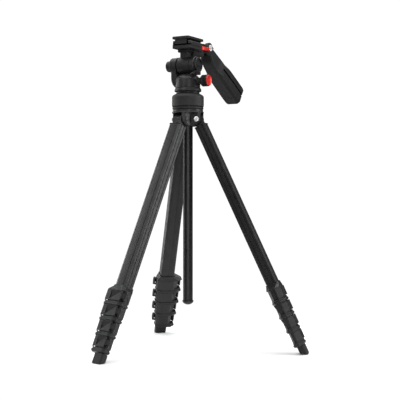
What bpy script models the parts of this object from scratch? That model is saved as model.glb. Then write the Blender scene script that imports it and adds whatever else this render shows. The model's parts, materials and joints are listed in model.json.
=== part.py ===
"""Travel video tripod: five-section legs with flip locks, a centre column and a fluid head with a pan grip.

Frame: +Z up, +X towards the pan knob, +Y towards the grip, so the lens would point along -Y.
The origin is on the floor, in the middle of the whole object's footprint.
"""
import math

import bmesh
import bpy
from mathutils import Vector

MM = 0.001
GAP = 0.3 * MM

# The column axis, measured from the middle of the footprint.
COLUMN_X = -26.9 * MM
COLUMN_Y = 7.0 * MM

# Legs: azimuths, pivot and spread.
LEG_AZIMUTHS = {"right": 15.0, "back": 135.0, "left": 255.0}
LEG_SPREAD = math.radians(24.9)
PIVOT_RADIUS = 20.0 * MM
PIVOT_HEIGHT = 423.6 * MM
LEG_LENGTH = PIVOT_HEIGHT / math.cos(LEG_SPREAD)

# Tubes: (tangential width, radial depth) of each section, outermost first.
TUBE_SIZES = [(27.4, 21.4), (23.4, 17.4), (19.4, 13.8), (15.8, 10.6), (12.4, 7.6)]
TUBE_WALL = 1.2 * MM
TUBE_TOP = 14.0 * MM
TUBE_STAGGER = 6.0 * MM

# Flip locks: reach of each housing to +Y (hinge side) and to -Y (free end of the lever), and radial depth.
LOCK_SIZES = [(19.0, 31.0, 26.0), (17.3, 29.8, 24.4), (15.5, 28.0, 22.4), (13.5, 26.0, 20.2)]
LOCK_CORNER = 8.0
FINGER_GAP = 8.0
LOCK_START = 329.0 * MM
LOCK_SHOULDER = 10.0 * MM
LOCK_PITCH = 27.6 * MM
LEVER_HEIGHT = 19.0 * MM
LEVER_THICK = 2.2 * MM
HINGE_RADIUS = 2.7 * MM
HINGE_BARREL = 9.4 * MM
HINGE_EAR = 3.0 * MM

# Foot pad at the end of the last section.
FOOT_WIDTH = 23.0 * MM
FOOT_DEPTH = 13.6 * MM
FOOT_LENGTH = 16.5 * MM

# Spider crown.
CROWN_BOTTOM = 411.6 * MM
CROWN_TOP = 435.4 * MM
CROWN_CHAMFER = 8.0 * MM
EAR_REACH = 26.6 * MM
EAR_CORNER = 4.0 * MM
EAR_OUTER = 16.7 * MM
EAR_INNER = 10.3 * MM
SLOT_BACK = 11.2 * MM
KNUCKLE_HALF = 10.0 * MM
KNUCKLE_RADIUS = 8.4 * MM
BOLT_RADIUS = 2.5 * MM
BOLT_HEAD_RADIUS = 4.7 * MM
BOLT_HEAD = 1.6 * MM

# Column.
COLUMN_RADIUS = 9.3 * MM
COLUMN_BORE = 9.8 * MM
COLUMN_BOTTOM = 90.3 * MM
COLUMN_TOP = 472.2 * MM

# Head heights and sizes.
PAN_RADIUS = 22.8 * MM
PAN_BOTTOM = 481.6 * MM
KNOB_HEIGHT = 494.0 * MM
TILT_HEIGHT = 524.0 * MM
BARREL_RADIUS = 16.0 * MM
BARREL_LEFT = -18.0 * MM
BARREL_RIGHT = 19.6 * MM
ARM_INNER = -18.3 * MM
ARM_OUTER = -32.6 * MM
ARM_DRUM_RADIUS = 15.7 * MM
SHAFT_RADIUS = 6.0 * MM
NECK_X = -5.4 * MM
TRAY_BOTTOM = 552.6 * MM
TRAY_TOP = 558.0 * MM
WEB_START = 11.4 * MM
WEB_STEP = 547.0 * MM
WEB_BOTTOM = 541.4 * MM
PLATE_BOTTOM = 570.2 * MM
PLATE_TOP = 574.8 * MM
SCREW_RADIUS = 3.1 * MM

# Grip: hub on the tray's rear lug, and the drop of the grip below the horizontal.
HUB_Y = 63.0 * MM
HUB_Z = 563.0 * MM
HUB_RADIUS = 10.3 * MM
HUB_HALF = 13.0 * MM
GRIP_DROP = math.radians(34.4)

ROUND = 40
SMALL_ROUND = 20
AXIS_X = (0.0, math.radians(90.0), 0.0)
AXIS_Y = (math.radians(-90.0), 0.0, 0.0)


def clear_scene():
    for old in list(bpy.data.objects):
        bpy.data.objects.remove(old, do_unlink=True)


def material(name, colour, roughness, metallic):
    made = bpy.data.materials.new(name)
    made.use_nodes = True
    shader = made.node_tree.nodes["Principled BSDF"]
    shader.inputs["Base Color"].default_value = (*colour, 1.0)
    shader.inputs["Roughness"].default_value = roughness
    shader.inputs["Metallic"].default_value = metallic
    return made


def empty(name, parent=None, location=(0.0, 0.0, 0.0), rotation=(0.0, 0.0, 0.0)):
    made = bpy.data.objects.new(name, None)
    made.empty_display_size = 0.01
    made.parent = parent
    made.location = location
    made.rotation_euler = rotation
    bpy.context.scene.collection.objects.link(made)
    return made


def put(name, bm, finish, parent, location=(0.0, 0.0, 0.0), rotation=(0.0, 0.0, 0.0)):
    """Turn a bmesh into a named object under its parent."""
    bmesh.ops.remove_doubles(bm, verts=bm.verts, dist=0.001 * MM)
    bmesh.ops.connect_verts_nonplanar(bm, angle_limit=0.001, faces=bm.faces)
    bmesh.ops.recalc_face_normals(bm, faces=bm.faces)
    if bm.calc_volume(signed=True) < 0.0:
        bmesh.ops.reverse_faces(bm, faces=bm.faces)
    mesh = bpy.data.meshes.new(name)
    bm.to_mesh(mesh)
    bm.free()
    mesh.materials.append(finish)
    made = bpy.data.objects.new(name, mesh)
    made.parent = parent
    made.location = location
    made.rotation_euler = rotation
    bpy.context.scene.collection.objects.link(made)
    return made


def smooth(made, angle=30.0):
    made.data.shade_smooth()
    made.data.set_sharp_from_angle(angle=math.radians(angle))
    return made


def loft(loops, ring=False):
    """Skin a list of equal-length closed loops; a ring joins the last loop to the first."""
    bm = bmesh.new()
    rows = [[bm.verts.new(point) for point in loop] for loop in loops]
    count = len(rows[0])
    pairs = list(zip(rows, rows[1:]))
    if ring:
        pairs.append((rows[-1], rows[0]))
    else:
        bm.faces.new(rows[0])
        bm.faces.new(rows[-1])
    for low, high in pairs:
        for i in range(count):
            j = (i + 1) % count
            bm.faces.new((low[i], low[j], high[j], high[i]))
    return bm


def flat_loop(outline, z):
    return [Vector((x, y, z)) for x, y in outline]


def prism(outline, low, high):
    return loft([flat_loop(outline, low), flat_loop(outline, high)])


def hollow_prism(outer, inner, low, high):
    loops = [flat_loop(outer, low), flat_loop(outer, high), flat_loop(inner, high), flat_loop(inner, low)]
    return loft(loops, ring=True)


def side_prism(outline, low, high):
    """Extrude a (y, z) outline along X."""
    return loft([[Vector((x, y, z)) for y, z in outline] for x in (low, high)])


def circle(radius, steps, centre=(0.0, 0.0), start=0.0):
    turn = 2.0 * math.pi / steps
    return [
        (centre[0] + radius * math.cos(start + i * turn), centre[1] + radius * math.sin(start + i * turn))
        for i in range(steps)
    ]


def turned(profile, steps=ROUND, ring=False):
    """Revolve (radius, height) points about Z; a ring's profile closes on itself, clear of the axis."""
    if ring:
        return loft([flat_loop(circle(r, steps), z) for r, z in profile], ring=True)
    bm = bmesh.new()
    rows = []
    for r, z in profile:
        if r == 0.0:
            rows.append([bm.verts.new((0.0, 0.0, z))])
        else:
            rows.append([bm.verts.new(point) for point in flat_loop(circle(r, steps), z)])
    for low, high in zip(rows, rows[1:]):
        for i in range(steps):
            j = (i + 1) % steps
            if len(low) == 1:
                bm.faces.new((low[0], high[j], high[i]))
            elif len(high) == 1:
                bm.faces.new((low[i], low[j], high[0]))
            else:
                bm.faces.new((low[i], low[j], high[j], high[i]))
    return bm


def rounded_box(width, depth, corner):
    """A centred rectangle outline with its four corners cut."""
    x = width / 2.0
    y = depth / 2.0
    c = corner
    return [
        (x, -y + c), (x, y - c), (x - c, y), (-x + c, y),
        (-x, y - c), (-x, -y + c), (-x + c, -y), (x - c, -y),
    ]


def combine(target, tool, operation, solver="EXACT"):
    """Boolean modifier with a hidden tool object."""
    tool.hide_render = True
    tool.display_type = "WIRE"
    step = target.modifiers.new(operation.lower(), "BOOLEAN")
    step.operation = operation
    step.solver = solver
    step.object = tool


def shield(width, depth):
    """Leg tube outline: outer face at +X with bevelled corners, rounded off towards the column."""
    w = width * MM / 2.0
    d = depth * MM / 2.0
    bevel = 0.17 * width * MM
    back = 0.14 * depth * MM
    return [
        (d, -w + bevel), (d, w - bevel), (d - 0.55 * bevel, w), (back - d, w),
        (-d, 0.74 * w), (-d, -0.74 * w), (back - d, -w), (d - 0.55 * bevel, -w),
    ]


def lock_outline(index, inset_front=0.0, inset_side=0.0, corner=LOCK_CORNER):
    """Housing outline; the insets make room for the lever on the outer face and on the -Y side."""
    plus, minus, depth = [size * MM for size in LOCK_SIZES[index]]
    d = depth / 2.0
    c = 0.32 * plus
    cut = corner * MM
    front = d - inset_front
    side = inset_side - minus
    return [
        (front, side + cut), (front, plus - c), (front - 0.7 * c, plus), (c - d, plus),
        (-d, plus - 1.6 * c), (-d, side + 1.6 * c), (c - d, side), (front - cut, side),
    ]


def lock_top(index):
    return -(LOCK_START + LOCK_SHOULDER + index * LOCK_PITCH)


def lock_body(index):
    """Loops of one housing from its shoulder down, with its bore for the next section."""
    shelf = lock_top(index)
    recess = LEVER_THICK + GAP
    lower = shelf - LEVER_HEIGHT - 2.0 * GAP
    band = LOCK_PITCH - LEVER_HEIGHT - 2.0 * GAP
    full = lock_outline(index)
    cut = grown(lock_outline(index, recess, FINGER_GAP * MM, 0.5 * LOCK_CORNER), -0.2 * MM)
    slim = grown(full, -1.1 * MM)
    loops = [
        flat_loop(full, shelf - GAP),
        flat_loop(cut, shelf - GAP),
        flat_loop(cut, lower),
        flat_loop(slim, lower),
        flat_loop(slim, lower - 0.34 * band),
        flat_loop(full, lower - 0.42 * band),
        flat_loop(full, lower - 0.80 * band),
        flat_loop(slim, lower - 0.88 * band),
        flat_loop(slim, lower - band),
    ]
    return loops


def grown(outline, by):
    """Push an outline outwards or inwards, measured square to the X and Y axes."""
    return [(x + by * math.copysign(1.0, x), y + by * math.copysign(1.0, y)) for x, y in outline]


def hinge_place(index):
    """The lever's hinge axis, at the outer corner of the housing's +Y side."""
    plus, _, depth = LOCK_SIZES[index]
    return depth * MM / 2.0 - 3.4 * MM, plus * MM + HINGE_RADIUS + GAP


def hinge_ears(index):
    """Two small plates that carry the lever's hinge, one above and one below its barrel."""
    x, y = hinge_place(index)
    middle = lock_top(index) - LEVER_HEIGHT / 2.0
    plus, _, depth = LOCK_SIZES[index]
    w = plus * MM
    wall = depth * MM / 2.0 - LEVER_THICK - 2.0 * GAP
    r = HINGE_RADIUS
    outline = [
        (x - 5.5 * MM, w - 3.5 * MM), (wall, 0.64 * w), (wall, w), (x + 0.9 * r, y - 0.15 * r),
        (x + 0.1 * r, y + 0.9 * r), (x - 0.9 * r, y + 0.35 * r), (x - 1.3 * r, w - 1.0 * MM),
    ]
    ears = []
    for side in (-1.0, 1.0):
        near = middle + side * (HINGE_BARREL / 2.0 + GAP)
        far = near + side * HINGE_EAR
        ears.append((outline, min(near, far), max(near, far)))
    return ears


def leg_lever(name, index, parent, finish):
    """Flip lever: hinge barrel, plate over the outer face, slanting free end with a finger gap behind it."""
    plus, minus, depth = [size * MM for size in LOCK_SIZES[index]]
    hx, hy = hinge_place(index)
    d = depth / 2.0
    proud = 0.6 * MM
    cut = LOCK_CORNER * MM
    inner = d - LEVER_THICK
    step = 0.8 * plus
    tip = d - cut - 1.5 * MM
    # Outline from the hinge, along the outer face, down the slanting end and back inside.
    outline = [
        (hx - HINGE_RADIUS, hy - 0.6 * MM), (hx, hy + HINGE_RADIUS), (hx + HINGE_RADIUS, hy),
        (d + proud, step + 0.5 * MM), (d + proud, step), (d + proud, cut - minus),
        (d - cut, -minus - proud), (tip, -minus - proud), (tip, 1.6 * MM - minus),
        (inner, cut - minus + 0.9 * MM), (inner, step), (inner, step + 0.5 * MM), (inner, plus + GAP),
    ]
    local = [(x - hx, y - hy) for x, y in outline]
    half = LEVER_HEIGHT / 2.0
    low = flat_loop(local, -half + 0.6 * MM)
    high = flat_loop(local, half - 0.6 * MM)
    # The lower free corner runs to a point.
    for i in (6, 7, 8):
        low[i].z -= 0.9 * MM
    # The stretch beside the hinge is only as tall as the barrel.
    for i in (0, 1, 2, 3, 11, 12):
        low[i].z = -HINGE_BARREL / 2.0
        high[i].z = HINGE_BARREL / 2.0
    bm = loft([low, high])
    bmesh.ops.triangulate(bm, faces=[f for f in bm.faces if len(f.verts) > 4])
    place = (hx, hy, lock_top(index) - half)
    return put(name, bm, finish, parent, place)


def lock_loops(index):
    """The housing's outer loops, closed by its bore; the first adds a sloping shoulder on the tube above."""
    shelf = lock_top(index)
    loops = lock_body(index)
    if index == 0:
        neck = grown(shield(*TUBE_SIZES[0]), 1.6 * MM)
        top = -LOCK_START
        loops = [
            flat_loop(neck, top), flat_loop(neck, top - 2.0 * MM),
            flat_loop(lock_outline(0), shelf + 1.4 * MM),
        ] + loops
    return loops


def add_ears(target, index, finish, parent):
    for outline, low, high in hinge_ears(index):
        ear = put("hinge_ear_tool", prism(outline, low, high), finish, parent)
        # The exact solver turns these long hollow sections inside out: the ears use the manifold one.
        combine(target, ear, "UNION", "MANIFOLD")


def leg(side, azimuth, root, finishes):
    """One whole leg: its pivot, knuckle, five sections, locks, levers and foot."""
    turn = math.radians(azimuth)
    place = (PIVOT_RADIUS * math.cos(turn), PIVOT_RADIUS * math.sin(turn), PIVOT_HEIGHT)
    pivot = empty(f"{side}_leg_pivot", root, place, (0.0, -LEG_SPREAD, turn))
    metal = finishes["leg_tube"]
    plastic = finishes["black_plastic"]

    knuckle(f"{side}_knuckle", pivot, plastic)
    pivot_bolt(f"{side}_pivot_bolt", pivot, finishes["bright_steel"])

    outer = shield(*TUBE_SIZES[0])
    inner = grown(outer, -TUBE_WALL)
    tube_end = lock_top(0) + 0.6 * MM
    put(f"{side}_tube_1", hollow_prism(outer, inner, -TUBE_TOP, tube_end), metal, pivot)

    # First housing: a socket round the outer tube's end, and a bore for the second section.
    socket = grown(outer, GAP)
    bore = grown(shield(*TUBE_SIZES[1]), GAP)
    loops = lock_loops(0)
    floor = tube_end - GAP
    bottom = loops[-1][0].z
    hole = [
        flat_loop(bore, bottom), flat_loop(bore, floor), flat_loop(socket, floor),
        flat_loop(socket, -LOCK_START),
    ]
    lock = put(f"{side}_lock_1", loft(loops + hole, ring=True), plastic, pivot)
    add_ears(lock, 0, plastic, pivot)

    # Inner sections: each is a tube with its own housing at the lower end.
    for index in range(1, len(LOCK_SIZES)):
        section = shield(*TUBE_SIZES[index])
        bore = grown(shield(*TUBE_SIZES[index + 1]), GAP)
        loops = lock_loops(index)
        shelf = loops[0][0].z
        top = -(TUBE_TOP + KNUCKLE_RADIUS + index * TUBE_STAGGER)
        bottom = loops[-1][0].z
        column = [flat_loop(section, top), flat_loop(section, shelf)]
        hole = [flat_loop(bore, bottom), flat_loop(bore, top)]
        piece = put(f"{side}_section_{index + 1}", loft(column + loops + hole, ring=True), plastic, pivot)
        add_ears(piece, index, plastic, pivot)

    last = shield(*TUBE_SIZES[4])
    top = -(TUBE_TOP + KNUCKLE_RADIUS + 4 * TUBE_STAGGER)
    end = -(LEG_LENGTH - 7.0 * MM)
    put(f"{side}_tube_5", prism(last, end, top), metal, pivot)
    foot(f"{side}_foot", pivot, finishes["rubber"])

    for index in range(len(LOCK_SIZES)):
        leg_lever(f"{side}_lever_{index + 1}", index, pivot, plastic)


def knuckle(name, pivot, finish):
    """Tongue between the crown's ears, bored for the bolt, running down into a cap on the outer tube."""
    tube = shield(*TUBE_SIZES[0])
    plug = grown(tube, -TUBE_WALL - GAP)
    skirt = grown(tube, 0.9 * MM)
    half = KNUCKLE_HALF - GAP / 2.0
    r = KNUCKLE_RADIUS
    neck = [(0.8 * r, -half), (0.8 * r, half), (0.5 * r, half), (-0.5 * r, half)]
    neck += [(-0.8 * r, 0.5 * half), (-0.8 * r, -0.5 * half), (-0.5 * r, -half), (0.5 * r, -half)]
    shoulder = -TUBE_TOP + GAP
    body = loft([
        flat_loop(plug, shoulder - 9.0 * MM), flat_loop(plug, shoulder), flat_loop(skirt, shoulder),
        flat_loop(skirt, shoulder + 0.8 * MM), flat_loop(neck, shoulder + 1.5 * MM), flat_loop(neck, 0.0),
    ])
    made = put(name, body, finish, pivot)
    head = prism(circle(r, SMALL_ROUND), -half, half)
    tool = put("knuckle_head_tool", head, finish, pivot, rotation=AXIS_Y)
    combine(made, tool, "UNION")
    bore = prism(circle(BOLT_RADIUS + GAP, SMALL_ROUND), -2.0 * half, 2.0 * half)
    combine(made, put("knuckle_bore_tool", bore, finish, pivot, rotation=AXIS_Y), "DIFFERENCE")


def pivot_bolt(name, pivot, finish):
    """Bolt through both ears with a low domed head at each end."""
    face = EAR_OUTER + GAP
    profile = [
        (0.0, -face - BOLT_HEAD), (0.72 * BOLT_HEAD_RADIUS, -face - BOLT_HEAD),
        (BOLT_HEAD_RADIUS, -face - 0.5 * BOLT_HEAD), (BOLT_HEAD_RADIUS, -face), (BOLT_RADIUS, -face),
        (BOLT_RADIUS, face), (BOLT_HEAD_RADIUS, face), (BOLT_HEAD_RADIUS, face + 0.5 * BOLT_HEAD),
        (0.72 * BOLT_HEAD_RADIUS, face + BOLT_HEAD), (0.0, face + BOLT_HEAD),
    ]
    smooth(put(name, turned(profile, SMALL_ROUND), finish, pivot, rotation=AXIS_Y))


def foot(name, pivot, finish):
    """Rubber block round the last tube's end, cut level with the floor."""
    last = shield(*TUBE_SIZES[4])
    socket = grown(last, GAP)
    top = -(LEG_LENGTH - FOOT_LENGTH)
    floor = -(LEG_LENGTH - 7.0 * MM) - GAP
    outer = rounded_box(FOOT_DEPTH, FOOT_WIDTH, 2.4 * MM)

    def ground(outline, lift):
        drop = math.sin(LEG_SPREAD)
        height = math.cos(LEG_SPREAD)
        return [Vector((x, y, (lift - PIVOT_HEIGHT - x * drop) / height)) for x, y in outline]

    slim = grown(outer, -1.2 * MM)
    loops = [
        flat_loop(socket, floor), flat_loop(socket, top), flat_loop(outer, top),
        ground(outer, 1.6 * MM), ground(slim, 0.0),
    ]
    smooth(put(name, loft(loops), finish, pivot), 20.0)


def at_azimuth(radial, tangential, azimuth):
    turn = math.radians(azimuth)
    x = radial * math.cos(turn) - tangential * math.sin(turn)
    y = radial * math.sin(turn) + tangential * math.cos(turn)
    return x, y


def crown_outline(reach):
    """Star of three forked arms; neighbouring arms meet at a corner between the legs."""
    outline = []
    corner = EAR_OUTER / math.sin(math.radians(60.0))
    for azimuth in LEG_AZIMUTHS.values():
        outline.append(at_azimuth(corner, 0.0, azimuth - 60.0))
        for radial, tangential in (
            (reach - EAR_CORNER, -EAR_OUTER), (reach, EAR_CORNER - EAR_OUTER), (reach, -EAR_INNER),
            (SLOT_BACK, -EAR_INNER), (SLOT_BACK, EAR_INNER),
            (reach, EAR_INNER), (reach, EAR_OUTER - EAR_CORNER), (reach - EAR_CORNER, EAR_OUTER),
        ):
            outline.append(at_azimuth(radial, tangential, azimuth))
    return outline


def crown(root, finish):
    levels = [
        (EAR_REACH - CROWN_CHAMFER, CROWN_BOTTOM), (EAR_REACH, CROWN_BOTTOM + CROWN_CHAMFER),
        (EAR_REACH, CROWN_TOP + 1.0 * MM),
    ]
    loops = [flat_loop(crown_outline(reach), z) for reach, z in levels]
    made = put("spider_crown", loft(loops), finish, root)
    flange = [
        (0.0, CROWN_TOP), (29.4 * MM, CROWN_TOP), (29.6 * MM, 436.6 * MM), (29.0 * MM, 437.8 * MM),
        (28.2 * MM, 438.2 * MM), (28.2 * MM, 441.4 * MM), (27.6 * MM, 442.0 * MM), (0.0, 442.0 * MM),
    ]
    combine(made, put("crown_flange_tool", turned(flange), finish, root), "UNION")
    bore = prism(circle(COLUMN_BORE, 24), CROWN_BOTTOM - 5.0 * MM, 450.0 * MM)
    combine(made, put("crown_bore_tool", bore, finish, root), "DIFFERENCE")
    for azimuth in LEG_AZIMUTHS.values():
        x, y = at_azimuth(PIVOT_RADIUS, 0.0, azimuth)
        half = EAR_OUTER + 2.0 * MM
        hole = prism(circle(BOLT_RADIUS + GAP, SMALL_ROUND), -half, half)
        turn = (AXIS_Y[0], 0.0, math.radians(azimuth))
        combine(made, put("ear_hole_tool", hole, finish, root, (x, y, PIVOT_HEIGHT), turn), "DIFFERENCE")


def column(root, finishes):
    """Twist-lock collar, sliding column with its end cap, and the top plate with the head stud."""
    plastic = finishes["black_plastic"]
    low = 442.3 * MM
    collar = [
        (COLUMN_BORE, low), (27.8 * MM, low), (28.6 * MM, low + 0.8 * MM), (28.8 * MM, 446.2 * MM),
        (28.2 * MM, 447.0 * MM), (29.5 * MM, 448.2 * MM), (29.5 * MM, 464.8 * MM), (29.1 * MM, 466.6 * MM),
        (28.0 * MM, 468.0 * MM), (22.8 * MM, 471.2 * MM), (21.2 * MM, 471.9 * MM), (COLUMN_BORE, 471.9 * MM),
    ]
    smooth(put("column_collar", turned(collar, ring=True), finishes["rubber"], root))

    slide = empty("column_slide", root)
    hexagon = circle(COLUMN_RADIUS, 12, start=math.radians(15.0))
    inner = circle(COLUMN_RADIUS - 1.6 * MM, 12, start=math.radians(15.0))
    tube = hollow_prism(hexagon, inner, COLUMN_BOTTOM, COLUMN_TOP)
    put("column_tube", tube, finishes["leg_tube"], slide)

    plug = COLUMN_RADIUS - 1.6 * MM - 2.0 * GAP
    rim = COLUMN_BOTTOM - GAP
    cap = [
        (0.0, 82.0 * MM), (4.0 * MM, 82.2 * MM), (7.6 * MM, 84.0 * MM), (10.0 * MM, 86.4 * MM),
        (10.3 * MM, 87.6 * MM), (10.3 * MM, rim),
        (plug, rim), (plug, rim + 12.0 * MM), (0.0, rim + 12.0 * MM),
    ]
    smooth(put("column_end_cap", turned(cap, 28), plastic, slide))

    seat = [
        (0.0, 472.5 * MM), (21.4 * MM, 472.5 * MM), (21.4 * MM, 474.2 * MM), (4.6 * MM, 474.2 * MM),
        (4.6 * MM, 484.0 * MM), (0.0, 484.6 * MM),
    ]
    smooth(put("head_seat", turned(seat), finishes["black_aluminium"], slide))
    return slide


def pan_parts(slide, finishes):
    """Fixed base, and the housing that pans on it with its side arm, knob, hub cap and tilt lock."""
    alloy = finishes["black_aluminium"]
    plastic = finishes["black_plastic"]
    base = [
        (4.9 * MM, 474.5 * MM), (22.6 * MM, 474.5 * MM), (24.9 * MM, 475.6 * MM), (24.9 * MM, 478.4 * MM),
        (24.0 * MM, 481.3 * MM), (13.0 * MM, 481.3 * MM), (13.0 * MM, 485.5 * MM), (4.9 * MM, 485.5 * MM),
    ]
    smooth(put("pan_base", turned(base, ring=True), alloy, slide))

    pan = empty("pan_turn", slide)
    shell = [
        (0.0, 486.0 * MM), (13.4 * MM, 486.0 * MM), (13.4 * MM, PAN_BOTTOM), (22.2 * MM, PAN_BOTTOM),
        (PAN_RADIUS, PAN_BOTTOM + 0.8 * MM), (PAN_RADIUS, 496.0 * MM), (22.2 * MM, 499.0 * MM),
        (20.6 * MM, 501.8 * MM), (18.0 * MM, 504.2 * MM), (14.6 * MM, 506.0 * MM), (11.4 * MM, 506.8 * MM),
        (0.0, 506.8 * MM),
    ]
    housing = smooth(put("pan_housing", turned(shell), alloy, pan))

    # Side arm: rises from the housing, its foot curving in, up to the drum that carries the tilt shaft.
    levels = [
        (482.4, 21.8, 8.4), (485.0, 25.0, 10.2), (489.0, 27.6, 11.6), (495.0, 29.8, 12.4),
        (502.0, 30.5, 12.6), (524.0, 30.5, 12.6),
    ]
    loops = []
    for height, reach, half in levels:
        outer = -reach * MM
        inner = ARM_INNER - GAP if height > 506.0 else -17.0 * MM
        h = half * MM
        c = 2.6 * MM
        outline = [(inner, -h), (inner, h), (outer + c, h), (outer, h - c), (outer, -h + c), (outer + c, -h)]
        loops.append(flat_loop(outline, height * MM))
    # Above the dome the arm's inner face stands clear of the barrel.
    dome = 507.0 * MM
    inner_side = -20.0 * MM
    clear = ARM_INNER - GAP
    loops.insert(5, [Vector((v.x, v.y, dome)) for v in loops[4]])
    loops.insert(6, [Vector((clear if v.x > inner_side else v.x, v.y, dome + GAP)) for v in loops[4]])
    combine(housing, put("arm_tool", loft(loops), alloy, pan), "UNION")
    depth = ARM_INNER - ARM_OUTER
    drum = [
        (0.0, 0.0), (ARM_DRUM_RADIUS - 2.4 * MM, 0.0), (ARM_DRUM_RADIUS - 0.7 * MM, 0.7 * MM),
        (ARM_DRUM_RADIUS, 2.6 * MM), (ARM_DRUM_RADIUS, depth), (0.0, depth),
    ]
    drum_tool = put("drum_tool", turned(drum), alloy, pan, (ARM_OUTER, 0.0, TILT_HEIGHT), AXIS_X)
    combine(housing, drum_tool, "UNION")
    boss = [
        (0.0, 18.0 * MM), (6.4 * MM, 18.0 * MM), (6.4 * MM, 29.0 * MM), (5.8 * MM, 29.6 * MM),
        (0.0, 29.6 * MM),
    ]
    boss_tool = put("boss_tool", turned(boss, 24), alloy, pan, (0.0, 0.0, KNOB_HEIGHT), AXIS_X)
    combine(housing, boss_tool, "UNION")
    bore = prism(circle(SHAFT_RADIUS + GAP, 24, start=0.07), -1.0 * MM, depth + 1.0 * MM)
    bore_tool = put("shaft_bore_tool", bore, alloy, pan, (ARM_OUTER, 0.0, TILT_HEIGHT), AXIS_X)
    combine(housing, bore_tool, "DIFFERENCE")
    knob_bore = prism(circle(2.8 * MM, SMALL_ROUND), 18.5 * MM, 32.0 * MM)
    knob_bore_tool = put("knob_bore_tool", knob_bore, alloy, pan, (0.0, 0.0, KNOB_HEIGHT), AXIS_X)
    combine(housing, knob_bore_tool, "DIFFERENCE")

    knob = [
        (0.0, 19.0 * MM), (2.5 * MM, 19.0 * MM), (2.5 * MM, 30.0 * MM), (8.8 * MM, 30.0 * MM),
        (10.3 * MM, 31.0 * MM), (10.8 * MM, 32.6 * MM), (10.8 * MM, 42.6 * MM), (10.3 * MM, 43.2 * MM),
        (0.0, 43.2 * MM),
    ]
    turn = empty("pan_knob_turn", pan, (0.0, 0.0, KNOB_HEIGHT), AXIS_X)
    smooth(put("pan_knob", turned(knob), plastic, turn))
    cap = [
        (0.0, 43.5 * MM), (9.8 * MM, 43.5 * MM), (9.8 * MM, 44.3 * MM), (9.2 * MM, 44.8 * MM),
        (0.0, 44.8 * MM),
    ]
    smooth(put("pan_knob_cap", turned(cap), finishes["red"], turn))

    hub_cap = [
        (0.0, GAP), (10.3 * MM, GAP), (10.3 * MM, 8.0 * MM), (9.8 * MM, 9.6 * MM), (8.6 * MM, 10.6 * MM),
        (0.0, 10.6 * MM),
    ]
    outward = (0.0, math.radians(-90.0), 0.0)
    smooth(put("tilt_hub_cap", turned(hub_cap, 32), alloy, pan, (ARM_OUTER, 0.0, TILT_HEIGHT), outward))

    # Tilt lock: a cone on a screw that comes out of the dome's near side, with a flat paddle.
    lock = [
        (0.0, 12.6 * MM), (1.4 * MM, 12.6 * MM), (1.8 * MM, 14.0 * MM), (4.8 * MM, 22.4 * MM),
        (4.8 * MM, 24.6 * MM), (0.0, 24.6 * MM),
    ]
    lock_turn = empty("tilt_lock_turn", pan, (0.0, -12.5 * MM, 507.4 * MM), AXIS_X)
    lock_knob = put("tilt_lock_knob", turned(lock, SMALL_ROUND), plastic, lock_turn)
    paddle = prism(rounded_box(8.4 * MM, 3.6 * MM, 1.2 * MM), 24.0 * MM, 33.0 * MM)
    combine(lock_knob, put("paddle_tool", paddle, plastic, lock_turn), "UNION")
    return pan


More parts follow.
